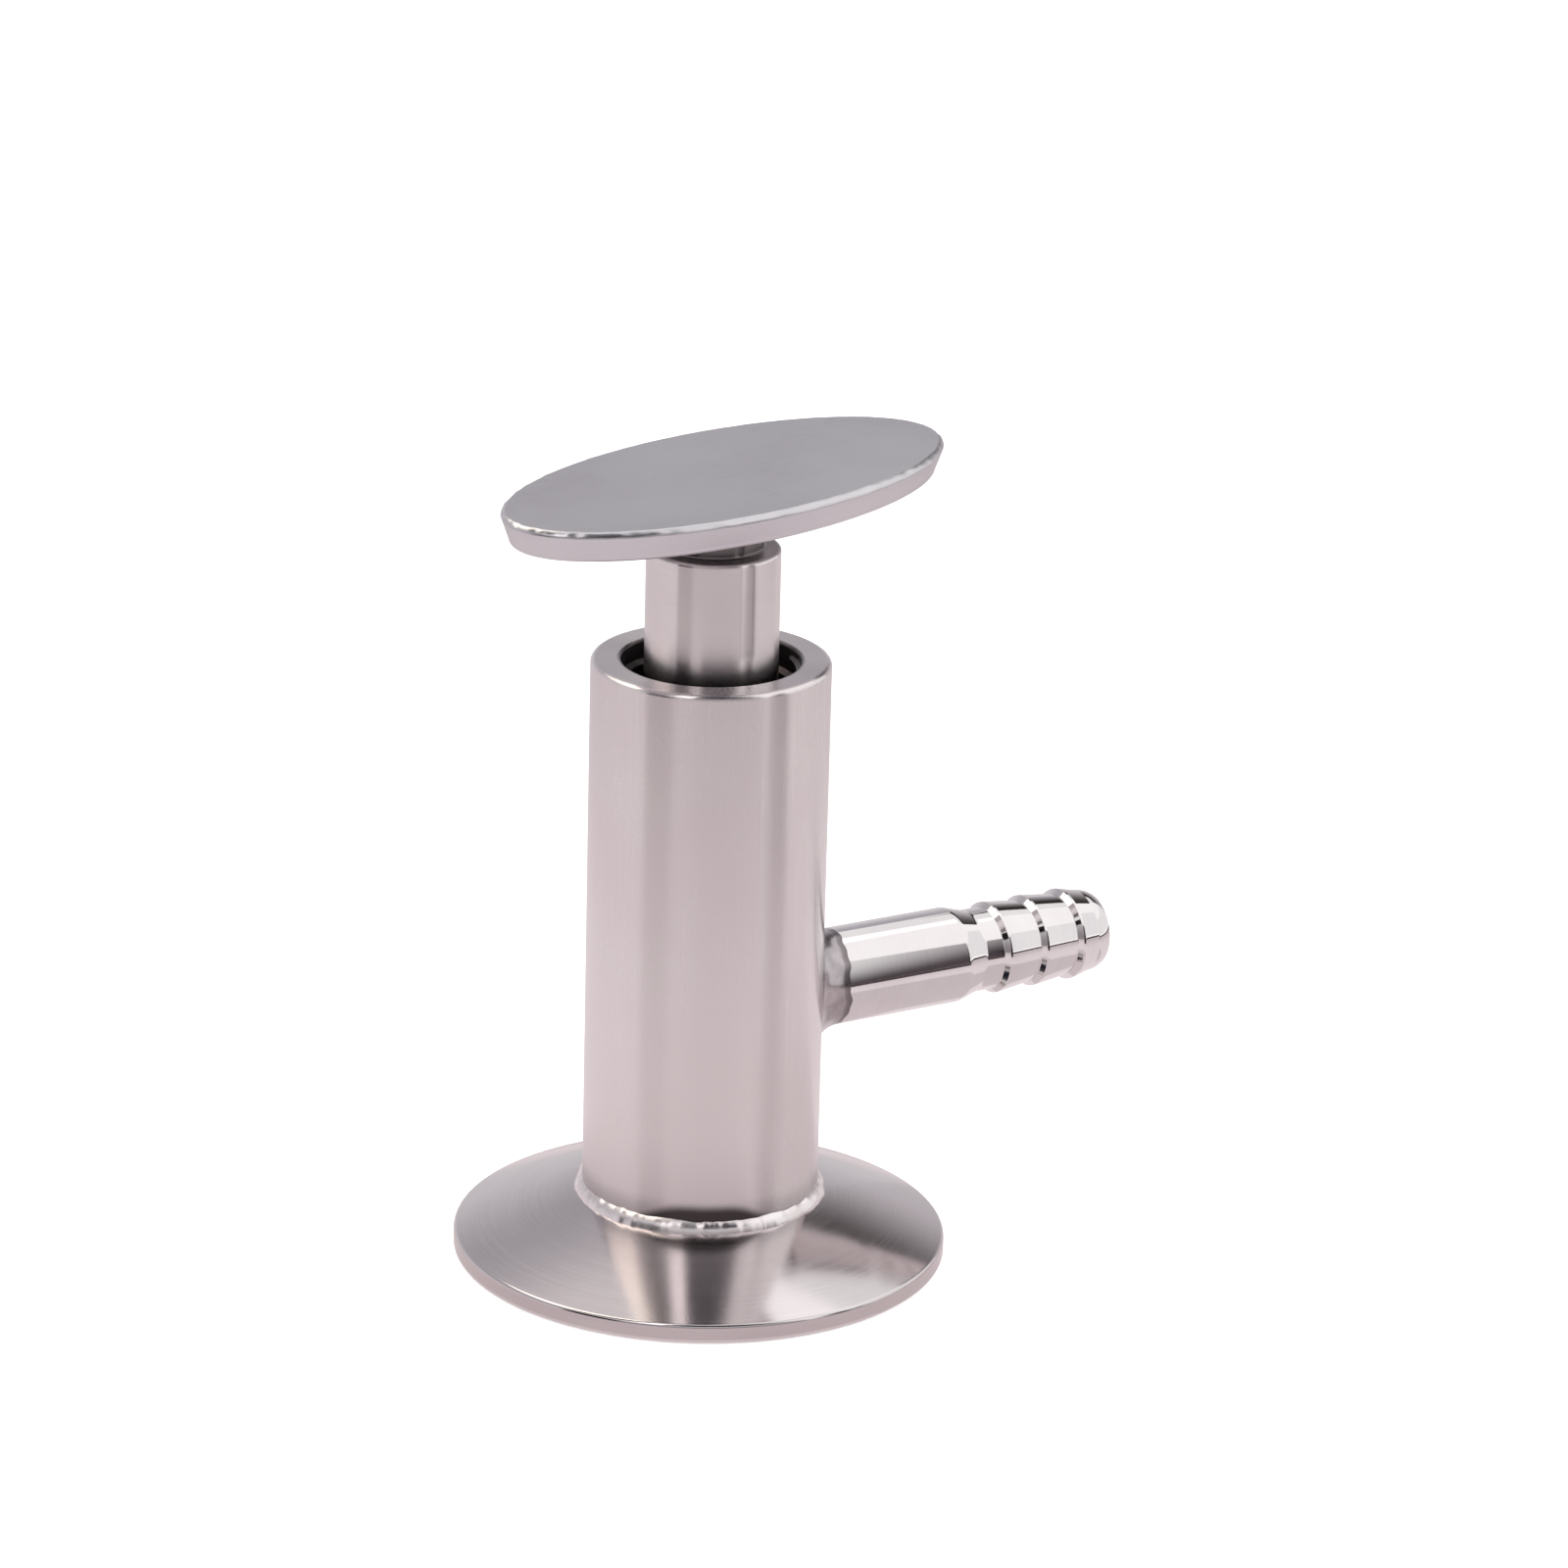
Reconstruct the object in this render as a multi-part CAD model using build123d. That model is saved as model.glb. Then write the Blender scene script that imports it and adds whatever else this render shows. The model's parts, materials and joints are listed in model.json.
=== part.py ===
from build123d import *
from math import cos, radians, sin, tan
import os

# Sanitary sampling valve, in millimetres. +Z runs up the valve's axis from the centre of
# the ferrule's clamp face, and the hose tail points along +X. The valve stands closed.

# Clamp ferrule
rim_radius = 25.25        # standard 50.5 mm clamp flange
rim_height = 2.0          # straight edge of the flange
rim_break = 0.35          # broken corners of that edge
back_angle = 20.0         # slope that the clamp grips
gasket_circle = 21.8      # radius of the ring that the gasket's bead sits in
gasket_round = 1.4        # radius of the groove's own section
gasket_rise = 0.1         # how far the groove's centre lies below the face

# Body
body_radius = 12.1
body_break = 0.5          # outer corner at the mouth
chamber_radius = 7.6      # bore that the piston slides in
thread_step = 1.4         # how much wider the threaded mouth is than the chamber
mouth_break = 0.4         # inner corner at the mouth
mouth_depth = 6.6         # from the mouth down to the stem's collar
bore_run = 3.0            # smooth bore above the piston

# Hose tail
outlet_height = 27.0      # its axis above the clamp face
tube_radius = 5.0
tube_step = 0.6           # how much the end in the body's wall is turned down
step_margin = 0.1         # from the weld out to that step
tube_end = 29.0           # where the plain tube stops, from the valve's axis
tube_taper = 2.3          # length of the slope down to the barbs
outlet_radius = 3.1       # bore
root_radius = 4.33        # between the barbs
crest_radius = 4.8
crest_flat = 0.25         # worn land on each crest
first_crest = 33.9        # from the valve's axis
barb_pitch = 4.5
barb_count = 3
barb_back = 0.45          # length of each barb's steep face
tail_end = 46.8
nose_length = 1.7         # rounded end of the tail
nose_radius = 3.75        # outer radius of the very end

# Stem
stem_radius = 6.75
stem_rise = 11.8          # from the body's mouth up to the shoulder
stem_break = 0.5
neck_radius = 5.0
neck_length = 4.0
spigot_radius = 4.0       # end that sits in the handle
spigot_length = 2.2
collar_length = 7.0       # threaded part
collar_break = 0.6
collar_gap = 0.6          # from the collar down to the end of the thread
waist_radius = 6.2        # between collar and piston
outlet_land = 1.0         # from the outlet up to the piston
piston_length = 12.0
piston_land = 1.6         # from each end of the piston to its ring groove
spindle_radius = 4.5      # long part below the piston

# Rings on the piston
cord_radius = 0.9
groove_width = 2.4
band_depth = 1.0          # how deep the guide band sits in the piston
band_height = 2.3

# Plug and its seat in the ferrule
tip_setback = 0.3         # from the clamp face up to the screw's head
screw_head_radius = 2.7
screw_head_height = 1.1
screw_head_round = 0.35
screw_socket = 2.0        # across the flats of its hexagon
screw_socket_depth = 0.7
screw_radius = 1.5
screw_length = 7.0
screw_hole_spare = 0.4
washer_radius = 3.9
washer_height = 0.6
seal_tip_inset = 0.3      # how much smaller the seal's tip is than the orifice
seal_height = 3.4
orifice_radius = 5.0
flow_gap = 1.0            # round the plug, for the liquid
holder_height = 2.2
holder_break = 0.4
pin_radius = 2.5
pin_length = 8.4
pin_spare = 0.4           # room above the pin
wire_radius = 0.4         # snap ring's wire
wire_below_top = 2.0      # from the pin's end down to the ring
wire_opening = 50.0       # degrees left open in the ring

# Handle
handle_length = 55.8
handle_width = 26.6
handle_height = 3.2
handle_edge = 0.7
handle_angle = 15.0       # of its long axis from +X, valve closed
handle_offset = 1.6       # how far along that axis the plate is set off the stem's centre

# Welds
ferrule_weld_leg = 1.1
outlet_weld_leg = 1.4
outlet_weld_slope = 1.05  # taken off the bead's outer corner
handle_weld_leg = 0.8
weld_bulge = 0.16         # how far a bead stands out, as a share of its leg

# Clearances
thread_clearance = 0.08   # collar in the mouth, radial
piston_clearance = 0.08   # piston in the chamber, radial
ring_clearance = 0.05     # rings in the chamber, radial
seat_clearance = 0.12     # seal above its seat
swivel_clearance = 0.05   # pin in the stem, radial and at the thrust face
press_clearance = 0.02    # parts that are fixed in one another
wire_clearance = 0.1      # snap ring in its grooves

# Worked out from these
ferrule_top = rim_height + (rim_radius - body_radius) * tan(radians(back_angle))
mouth_radius = chamber_radius + thread_step
piston_radius = chamber_radius - piston_clearance
piston_bottom = outlet_height + tube_radius + outlet_land
piston_top = piston_bottom + piston_length
chamber_top = piston_top + bore_run
collar_bottom = chamber_top + thread_step + collar_gap
collar_top = collar_bottom + collar_length
body_top = collar_top + mouth_depth
shoulder_top = body_top + stem_rise
handle_bottom = shoulder_top + neck_length

head_top = tip_setback + screw_head_height
seal_bottom = head_top + washer_height
seal_top = seal_bottom + seal_height
seal_tip_radius = orifice_radius - seal_tip_inset
seal_radius = chamber_radius - flow_gap
orifice_land = seal_bottom - seat_clearance + seal_tip_inset
screw_hole_radius = screw_radius + press_clearance
holder_top = seal_top + holder_height
pin_top = holder_top + pin_length
wire_height = pin_top - wire_below_top
wire_circle = pin_radius + swivel_clearance / 2
wire_room = wire_radius + wire_clearance

lower_ring_height = piston_bottom + piston_land + groove_width / 2
upper_ring_height = piston_top - piston_land - groove_width / 2
band_middle = (lower_ring_height + upper_ring_height) / 2
ring_circle = chamber_radius - ring_clearance - cord_radius
groove_floor = ring_circle - cord_radius - press_clearance
band_floor = piston_radius - band_depth

tube_inner_radius = tube_radius - tube_step
tube_start = body_radius + outlet_weld_leg + step_margin

from_its_foot = (Align.CENTER, Align.CENTER, Align.MIN)


def turned(*outline):
    """Solid of revolution about +Z from (radius, height) corners."""
    face = make_face(Polyline(*outline, close=True))
    return revolve(Plane.XZ * face, Axis.Z)


def ring_band(inner, outer, low, high):
    """Plain ring between two radii and two heights."""
    return turned((inner, low), (outer, low), (outer, high), (inner, high))


def rod(radius, low, high):
    """Plain cylinder about +Z between two heights."""
    return Pos(0, 0, low) * Cylinder(radius, high - low, align=from_its_foot)


def outlet_rod(radius):
    """Plain cylinder along the outlet's axis, from the valve's axis to clear of the body."""
    return Pos(0, 0, outlet_height) * (Plane.YZ * Cylinder(radius, body_radius * 2, align=from_its_foot))


def cord_ring(circle, section, height):
    """Ring of round section lying level."""
    return Pos(0, 0, height) * Torus(circle, section)


def bead(corner, leg, first_angle, second_angle):
    """Weld bead turned about +Z, with its root at corner and a leg along each of two directions."""
    start = Vector(corner) + Vector(cos(radians(first_angle)), sin(radians(first_angle))) * leg
    end = Vector(corner) + Vector(cos(radians(second_angle)), sin(radians(second_angle))) * leg
    middle = (start + end) / 2
    outward = (middle - Vector(corner)).normalized()
    crown = middle + outward * leg * weld_bulge
    outline = Polyline(end, corner, start) + ThreePointArc(start, crown, end)
    return revolve(Plane.XZ * make_face(outline), Axis.Z)


def clamp_ferrule():
    solid = turned(
        (orifice_radius, 0),
        (rim_radius - rim_break, 0),
        (rim_radius, rim_break),
        (rim_radius, rim_height - rim_break),
        (rim_radius - rim_break, rim_height + rim_break * tan(radians(back_angle))),
        (body_radius, ferrule_top),
        (chamber_radius, ferrule_top),
        (chamber_radius, orifice_land + chamber_radius - orifice_radius),
        (orifice_radius, orifice_land),
    )
    return solid - cord_ring(gasket_circle, gasket_round, -gasket_rise)


def valve_body():
    solid = turned(
        (chamber_radius, ferrule_top),
        (body_radius, ferrule_top),
        (body_radius, body_top - body_break),
        (body_radius - body_break, body_top),
        (mouth_radius + mouth_break, body_top),
        (mouth_radius, body_top - mouth_break),
        (mouth_radius, chamber_top + thread_step),
        (chamber_radius, chamber_top),
    )
    return solid - outlet_rod(tube_inner_radius + press_clearance)


def hose_tail():
    """Tube and barbs in one, turned about +X and coped to the chamber at its inner end."""
    outline = [(0, tube_inner_radius), (tube_start, tube_inner_radius), (tube_start, tube_radius)]
    outline.append((tube_end, tube_radius))
    outline.append((tube_end + tube_taper, root_radius))
    for number in range(barb_count):
        crest = first_crest + number * barb_pitch
        outline.append((crest - barb_back, root_radius))
        outline.append((crest, crest_radius))
        outline.append((crest + crest_flat, crest_radius))
    outline.append((tail_end - nose_length, root_radius))
    nose = TangentArc(outline[-1], (tail_end, nose_radius), tangent=(1, 0))
    inside = Polyline((tail_end, nose_radius), (tail_end, outlet_radius), (0, outlet_radius), outline[0])
    face = make_face(Polyline(*outline) + nose + inside)
    solid = Pos(0, 0, outlet_height) * revolve(Plane.XZ * face, Axis.X)
    return solid - rod(chamber_radius, 0, body_top)


def outlet_weld():
    """Bead that follows the saddle where the tube leaves the body."""
    solid = outlet_rod(tube_radius + outlet_weld_leg) & rod(body_radius + outlet_weld_leg, 0, body_top)
    solid -= rod(body_radius, 0, body_top)
    outer_saddle = solid.faces().sort_by(Axis.X)[-1].edges().sort_by(SortBy.LENGTH)[-1]
    solid = chamfer(outer_saddle, outlet_weld_slope)
    return solid - outlet_rod(tube_inner_radius)


def stem():
    solid = turned(
        (0, holder_top + swivel_clearance),
        (spindle_radius, holder_top + swivel_clearance),
        (spindle_radius, piston_bottom),
        (piston_radius, piston_bottom),
        (piston_radius, piston_top),
        (waist_radius, piston_top),
        (waist_radius, collar_bottom),
        (mouth_radius - thread_clearance - collar_break, collar_bottom),
        (mouth_radius - thread_clearance, collar_bottom + collar_break),
        (mouth_radius - thread_clearance, collar_top - collar_break),
        (mouth_radius - thread_clearance - collar_break, collar_top),
        (stem_radius, collar_top),
        (stem_radius, shoulder_top - stem_break),
        (stem_radius - stem_break, shoulder_top),
        (neck_radius, shoulder_top),
        (neck_radius, handle_bottom),
        (spigot_radius, handle_bottom),
        (spigot_radius, handle_bottom + spigot_length),
        (0, handle_bottom + spigot_length),
    )
    for height in (lower_ring_height, upper_ring_height):
        solid -= ring_band(groove_floor, chamber_radius, height - groove_width / 2, height + groove_width / 2)
    solid -= ring_band(band_floor, chamber_radius, band_middle - groove_width / 2, band_middle + groove_width / 2)
    solid -= rod(pin_radius + swivel_clearance, 0, pin_top + pin_spare)
    solid -= ring_band(0, wire_circle + wire_room, wire_height - wire_room, wire_height + wire_room)
    return solid


def handle_plate():
    solid = extrude(Ellipse(handle_length / 2, handle_width / 2), handle_height)
    solid = Pos(handle_offset, 0, 0) * fillet(solid.edges(), handle_edge)
    solid -= rod(spigot_radius + press_clearance, 0, spigot_length + press_clearance)
    return Pos(0, 0, handle_bottom) * Rot(0, 0, handle_angle) * solid


def guide_band():
    low = band_middle - band_height / 2
    return ring_band(band_floor + press_clearance, chamber_radius - ring_clearance, low, low + band_height)


def seat_seal():
    """Soft cone that closes the orifice; its slope lies along the ferrule's own seat."""
    return turned(
        (screw_hole_radius, seal_bottom),
        (seal_tip_radius, seal_bottom),
        (seal_radius, seal_bottom + seal_radius - seal_tip_radius),
        (seal_radius, seal_top),
        (screw_hole_radius, seal_top),
    )


def seal_washer():
    return ring_band(screw_hole_radius, washer_radius, head_top, seal_bottom)


def seal_screw():
    head = rod(screw_head_radius, tip_setback, head_top)
    head = fillet(head.edges().group_by(Axis.Z)[0], screw_head_round)
    socket = extrude(RegularPolygon(screw_socket / 2, 6, major_radius=False), screw_socket_depth)
    solid = head + rod(screw_radius, head_top, head_top + screw_length)
    return solid - Pos(0, 0, tip_setback) * socket


def plug_holder():
    solid = turned(
        (0, seal_top),
        (seal_radius, seal_top),
        (seal_radius, holder_top - holder_break),
        (seal_radius - holder_break, holder_top),
        (pin_radius, holder_top),
        (pin_radius, pin_top),
        (0, pin_top),
    )
    solid -= rod(screw_hole_radius, 0, head_top + screw_length + screw_hole_spare)
    solid -= ring_band(wire_circle - wire_room, spindle_radius, wire_height - wire_room, wire_height + wire_room)
    return solid


def swivel_ring():
    """Open wire ring, half in the pin's groove and half in the stem's."""
    opening = wire_opening / 2
    section = Pos(wire_circle, 0, 0) * (Plane.XZ * Circle(wire_radius))
    section = Rot(0, 0, opening) * section
    return Pos(0, 0, wire_height) * revolve(section, Axis.Z, 360 - wire_opening)


nodes = {
    "clamp_ferrule": clamp_ferrule(),
    "valve_body": valve_body(),
    "ferrule_weld": bead((body_radius, ferrule_top), ferrule_weld_leg, 90, -back_angle),
    "hose_tail": hose_tail(),
    "outlet_weld": outlet_weld(),
    "stem": stem(),
    "handle_plate": handle_plate(),
    "handle_weld": bead((neck_radius, handle_bottom), handle_weld_leg, 0, -90),
    "lower_oring": cord_ring(ring_circle, cord_radius, lower_ring_height),
    "upper_oring": cord_ring(ring_circle, cord_radius, upper_ring_height),
    "guide_band": guide_band(),
    "plug_holder": plug_holder(),
    "seat_seal": seat_seal(),
    "seal_washer": seal_washer(),
    "seal_screw": seal_screw(),
    "swivel_ring": swivel_ring(),
}

os.makedirs("parts", exist_ok=True)
for name, solid in nodes.items():
    export_step(solid, f"parts/{name}.step")
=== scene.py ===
import json
from math import cos, pi, radians, sin, sqrt, tan

import bmesh
import bpy
from mathutils import Matrix, Vector


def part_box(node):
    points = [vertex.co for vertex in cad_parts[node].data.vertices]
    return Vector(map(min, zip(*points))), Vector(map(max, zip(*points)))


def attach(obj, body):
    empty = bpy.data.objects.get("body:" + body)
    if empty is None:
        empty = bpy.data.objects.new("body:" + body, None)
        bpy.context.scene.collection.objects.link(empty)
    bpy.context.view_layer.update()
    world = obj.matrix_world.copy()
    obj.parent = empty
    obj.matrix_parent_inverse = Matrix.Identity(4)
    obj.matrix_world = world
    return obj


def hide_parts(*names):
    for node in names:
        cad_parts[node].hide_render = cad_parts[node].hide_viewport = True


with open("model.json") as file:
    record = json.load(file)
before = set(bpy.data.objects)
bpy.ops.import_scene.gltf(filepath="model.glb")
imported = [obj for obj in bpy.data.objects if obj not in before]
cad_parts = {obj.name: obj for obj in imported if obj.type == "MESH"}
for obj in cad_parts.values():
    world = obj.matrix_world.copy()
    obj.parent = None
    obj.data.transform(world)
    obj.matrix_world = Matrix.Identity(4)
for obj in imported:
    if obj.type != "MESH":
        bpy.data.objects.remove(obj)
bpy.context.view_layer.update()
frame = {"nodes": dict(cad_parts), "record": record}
mm = 0.001
print("frame loaded:", len(frame["nodes"]), "nodes")


# The camera looks down on the valve from the front left, so that the hose tail runs away to the right
cameraPlace = {
    "aim": (0, 0, 54.3 * mm),
    "distance": 620 * mm,
    "azimuth": 29.75,
    "elevation": 18.96,
    "roll": 1.28,
    "lens": 141.8,
    "shift": (0.0476, -0.0243),
}


def makeCamera(place):
    turn = radians(place["azimuth"])
    rise = radians(place["elevation"])
    roll = radians(place["roll"])
    forward = Vector((sin(turn) * cos(rise), cos(turn) * cos(rise), -sin(rise)))
    right = Vector((cos(turn), -sin(turn), 0))
    up = right.cross(forward)
    leanedRight = right * cos(roll) + up * sin(roll)
    leanedUp = up * cos(roll) - right * sin(roll)
    camera = bpy.data.objects.new("camera", bpy.data.cameras.new("camera"))
    bpy.context.scene.collection.objects.link(camera)
    axes = Matrix((leanedRight, leanedUp, -forward)).transposed()
    standpoint = Vector(place["aim"]) - forward * place["distance"]
    camera.matrix_world = Matrix.Translation(standpoint) @ axes.to_4x4()
    camera.data.lens = place["lens"]
    camera.data.shift_x, camera.data.shift_y = place["shift"]
    camera.data.clip_start = 0.01
    bpy.context.scene.camera = camera


makeCamera(cameraPlace)
bpy.context.scene.view_settings.view_transform = "Standard"


class Wire:
    # a socket that Python's own operators work on
    def __init__(self, tree, socket=None):
        self.tree = tree
        self.socket = socket

    def make(self, kind, settings=None, inputs=None, output=0):
        node = self.tree.nodes.new(kind)
        for key, value in (settings or {}).items():
            setattr(node, key, value)
        for key, value in (inputs or {}).items():
            if isinstance(value, Wire):
                self.tree.links.new(value.socket, node.inputs[key])
            else:
                node.inputs[key].default_value = value
        return Wire(self.tree, node.outputs[output] if node.outputs else None)

    def out(self, name):
        return Wire(self.tree, self.socket.node.outputs[name])

    def maths(self, operation, first, second=0.0):
        return self.make("ShaderNodeMath", {"operation": operation}, {0: first, 1: second})

    def __add__(self, other):
        return self.maths("ADD", self, other)

    def __radd__(self, other):
        return self.maths("ADD", other, self)

    def __sub__(self, other):
        return self.maths("SUBTRACT", self, other)

    def __rsub__(self, other):
        return self.maths("SUBTRACT", other, self)

    def __mul__(self, other):
        return self.maths("MULTIPLY", self, other)

    def __rmul__(self, other):
        return self.maths("MULTIPLY", other, self)

    def __truediv__(self, other):
        return self.maths("DIVIDE", self, other)

    def __rtruediv__(self, other):
        return self.maths("DIVIDE", other, self)

    def __pow__(self, other):
        return self.maths("POWER", self, other)

    def __rpow__(self, other):
        return self.maths("POWER", other, self)

    def root(self):
        return self.maths("SQRT", self)

    def clamped(self):
        return self.make("ShaderNodeClamp", None, {0: self})

    def ramp(self, low, high, first=0.0, last=1.0):
        return self.make("ShaderNodeMapRange", {"interpolation_type": "SMOOTHSTEP"},
                         {0: self, 1: low, 2: high, 3: first, 4: last})

    def noise(self, place, scale, detail, roughness=0.5):
        return self.make("ShaderNodeTexNoise", None,
                         {"Vector": place, "Scale": scale, "Detail": detail, "Roughness": roughness})

    def blend(self, share, first, second):
        # one colour turning into another
        return self.make("ShaderNodeMix", {"data_type": "RGBA"}, {0: share, 6: first, 7: second}, output=2)

    def xyz(self, x, y, z):
        return self.make("ShaderNodeCombineXYZ", None, {0: x, 1: y, 2: z})


def linear(red, green, blue):
    # a colour as picked on a screen, made linear
    def one(value):
        share = value / 255
        return share / 12.92 if share <= 0.04045 else ((share + 0.055) / 1.055) ** 2.4
    return (one(red), one(green), one(blue), 1)


# Finishes. "lines" are tool or brushing marks per metre: "round" marks run round the valve's axis, "roundX"
# marks round the hose tail's, "along" marks up the wall and "straight" marks along the handle.
# A turned wall carries fine grooves, which draw its highlights out along the axis: that is "grain".
finishes = {
    "satinSteel": {
        "colour": linear(230, 224, 224), "shade": linear(225, 217, 218), "roughness": (0.25, 0.28),
        "lines": 5000, "direction": "along", "bump": 0.0035, "cloud": 60, "grain": 0.92,
    },
    "stemSteel": {
        "colour": linear(238, 232, 232), "shade": linear(230, 223, 224), "roughness": (0.20, 0.25),
        "lines": 12000, "direction": "round", "bump": 0.02, "cloud": 120, "grain": 0.9,
    },
    "handleSteel": {
        "colour": linear(208, 206, 209), "shade": linear(198, 195, 199), "roughness": (0.26, 0.34),
        "lines": 9000, "direction": "straight", "bump": 0.05, "cloud": 70, "grain": 0.0,
    },
    "turnedSteel": {
        "colour": linear(217, 211, 211), "shade": linear(207, 200, 201), "roughness": (0.12, 0.18),
        "lines": 7000, "direction": "round", "bump": 0.016, "cloud": 60, "grain": 0.55,
    },
    "polishedSteel": {
        "colour": linear(231, 227, 227), "shade": linear(223, 218, 219), "roughness": (0.035, 0.07),
        "lines": 9000, "direction": "roundX", "bump": 0.02, "cloud": 150, "grain": 0.0,
    },
    # painted shade: the weld under the handle sits in the gap beneath the plate, so its colour is painted
    # dark
    "burntSteel": {
        "colour": linear(132, 120, 116), "shade": linear(84, 72, 70), "roughness": (0.28, 0.42),
        "lines": 0, "direction": "round", "bump": 0.12, "cloud": 260, "grain": 0.0,
    },
    "meltedSteel": {
        "colour": linear(242, 236, 236), "shade": linear(220, 211, 211), "roughness": (0.20, 0.34),
        "lines": 0, "direction": "round", "bump": 0.14, "cloud": 200, "grain": 0.0,
    },
    "weldSteel": {
        "colour": linear(190, 183, 185), "shade": linear(164, 156, 158), "roughness": (0.15, 0.25),
        "lines": 0, "direction": "round", "bump": 0.08, "cloud": 260, "grain": 0.0,
    },
    "springSteel": {
        "colour": linear(170, 166, 166), "shade": linear(140, 136, 136), "roughness": (0.2, 0.3),
        "lines": 6000, "direction": "round", "bump": 0.05, "cloud": 400, "grain": 0.0,
    },
}


# Painted shade and painted dark reflection mixed into a finish's colour: inside the mouth, on the stem where
# it enters the mouth and above its shoulder, and beside the welds; and a slight darkening of the mouth's top
# face
paintedShade = {
    "satinSteel": (
        # the mouth's top face a little darker
        {"kind": "radius", "clear": 11.75 * mm, "dull": 11.45 * mm, "strength": 0.15},
        # painted shade down the inside of the mouth
        {"kind": "radius", "clear": 9.5 * mm, "dull": 9.05 * mm, "strength": 0.95},
        # painted shade low on the wall, just above the weld at its foot
        {"kind": "height", "clear": 10.2 * mm, "dull": 7.8 * mm, "strength": 0.30},
        # painted dark reflection on the wall above the foot weld, on the side facing the camera
        {"kind": "scorch", "clear": 9.7 * mm, "dull": 8.5 * mm, "strength": 0.93},
    ),
    "stemSteel": (
        # painted shade on the stem where it enters the mouth
        {"kind": "height", "clear": 64.4 * mm, "dull": 61.6 * mm, "strength": 0.94},
        # painted shade on the neck above the shoulder, in the gap under the handle
        {"kind": "height", "clear": 74.9 * mm, "dull": 75.5 * mm, "strength": 0.80},
    ),
    "weldSteel": (
        # a painted shade line along the toe of the outlet weld, where it meets the tube
        {"kind": "toe", "clear": 5.06 * mm, "dull": 5.01 * mm, "strength": 0.55},
    ),
}
# the colour of the painted shade, and how unevenly the edges of its places run
paintedShadeColour = linear(58, 50, 50)
paintedShadeUneven = 0.6 * mm
# the painted dark reflection on the wall above the foot weld reaches highest on this bearing, the side facing
# the camera, and falls away to both sides
scorch = {"bearing": radians(-27), "spread": radians(36), "fall": 1.7 * mm}
# scuffs from handling: noise of so many lumps per metre along X, Y and Z
scuffs = {"perMetre": (2600, 900, 1700), "from": 0.62, "full": 0.78, "rougher": 0.03, "deeper": 0.04}

# how much longer a brushed line is than it is wide, and how deep a bump of full height goes
lineLength = 60
bumpDepth = 0.02 * mm


def newMaterial(name):
    material = bpy.data.materials.new(name)
    material.use_nodes = True
    return material, Wire(material.node_tree), material.node_tree.nodes["Principled BSDF"]


def join(wire, shader, base, rough, height, bump):
    # the three values that vary over a surface
    bumped = wire.make("ShaderNodeBump", None, {"Strength": bump, "Distance": bumpDepth, "Height": height})
    for label, value in (("Base Color", base), ("Roughness", rough), ("Normal", bumped)):
        wire.tree.links.new(value.socket, shader.inputs[label])


def placeOn(wire, direction):
    # the piece's own coordinates, turned so that the third one runs along its axis
    position = wire.make("ShaderNodeTexCoord", output=3)
    parts = wire.make("ShaderNodeSeparateXYZ", None, {0: position})
    x, y, z = parts.out("X"), parts.out("Y"), parts.out("Z")
    if direction == "roundX":
        x, y, z = y, z - outletHeight, x
    radius = (x * x + y * y).root() + 1e-5
    return position, x, y, z, radius


def toolMarks(wire, look, position, x, y, z, radius):
    # fine lines as a belt or a lathe leaves them, or the small lumps of a face that was molten
    lines = look["lines"]
    if not lines:
        return wire.noise(position, look["cloud"] * 3, 3.0)
    if look["direction"] == "along":
        place = wire.xyz(x * lines, y * lines, z * (lines / lineLength))
    elif look["direction"] == "straight":
        slant = radians(handleAngle)
        across = y * cos(slant) - x * sin(slant)
        length = x * cos(slant) + y * sin(slant)
        place = wire.xyz(length * (lines / lineLength), across * lines, z * lines)
    else:
        place = wire.xyz(x / radius * 1.2, y / radius * 1.2, (z + radius) * lines)
    return wire.noise(place, 1.0, 3.0, 0.6)


def paintedShadeShare(part, cloud, x, y, z, radius):
    # the share of painted shade colour that one row of a finish's painted shade gives
    unevenness = cloud * paintedShadeUneven - paintedShadeUneven / 2
    if part["kind"] == "toe":
        # how far from the hose tail's own axis
        place = (y * y + (z - outletHeight) * (z - outletHeight)).root()
    elif part["kind"] == "radius":
        place = radius + unevenness
    else:
        place = z + unevenness
    # the painted dark reflection reaches higher on the side facing the camera
    if part["kind"] == "scorch":
        facing = (x * sin(scorch["bearing"]) - y * cos(scorch["bearing"])) / radius
        place = place + facing.ramp(cos(scorch["spread"]), 1.0, scorch["fall"], 0.0)
    clear, dull, strength = part["clear"], part["dull"], part["strength"]
    if clear < dull:
        return place.ramp(clear, dull, 0.0, strength)
    return place.ramp(dull, clear, strength, 0.0)


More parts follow.
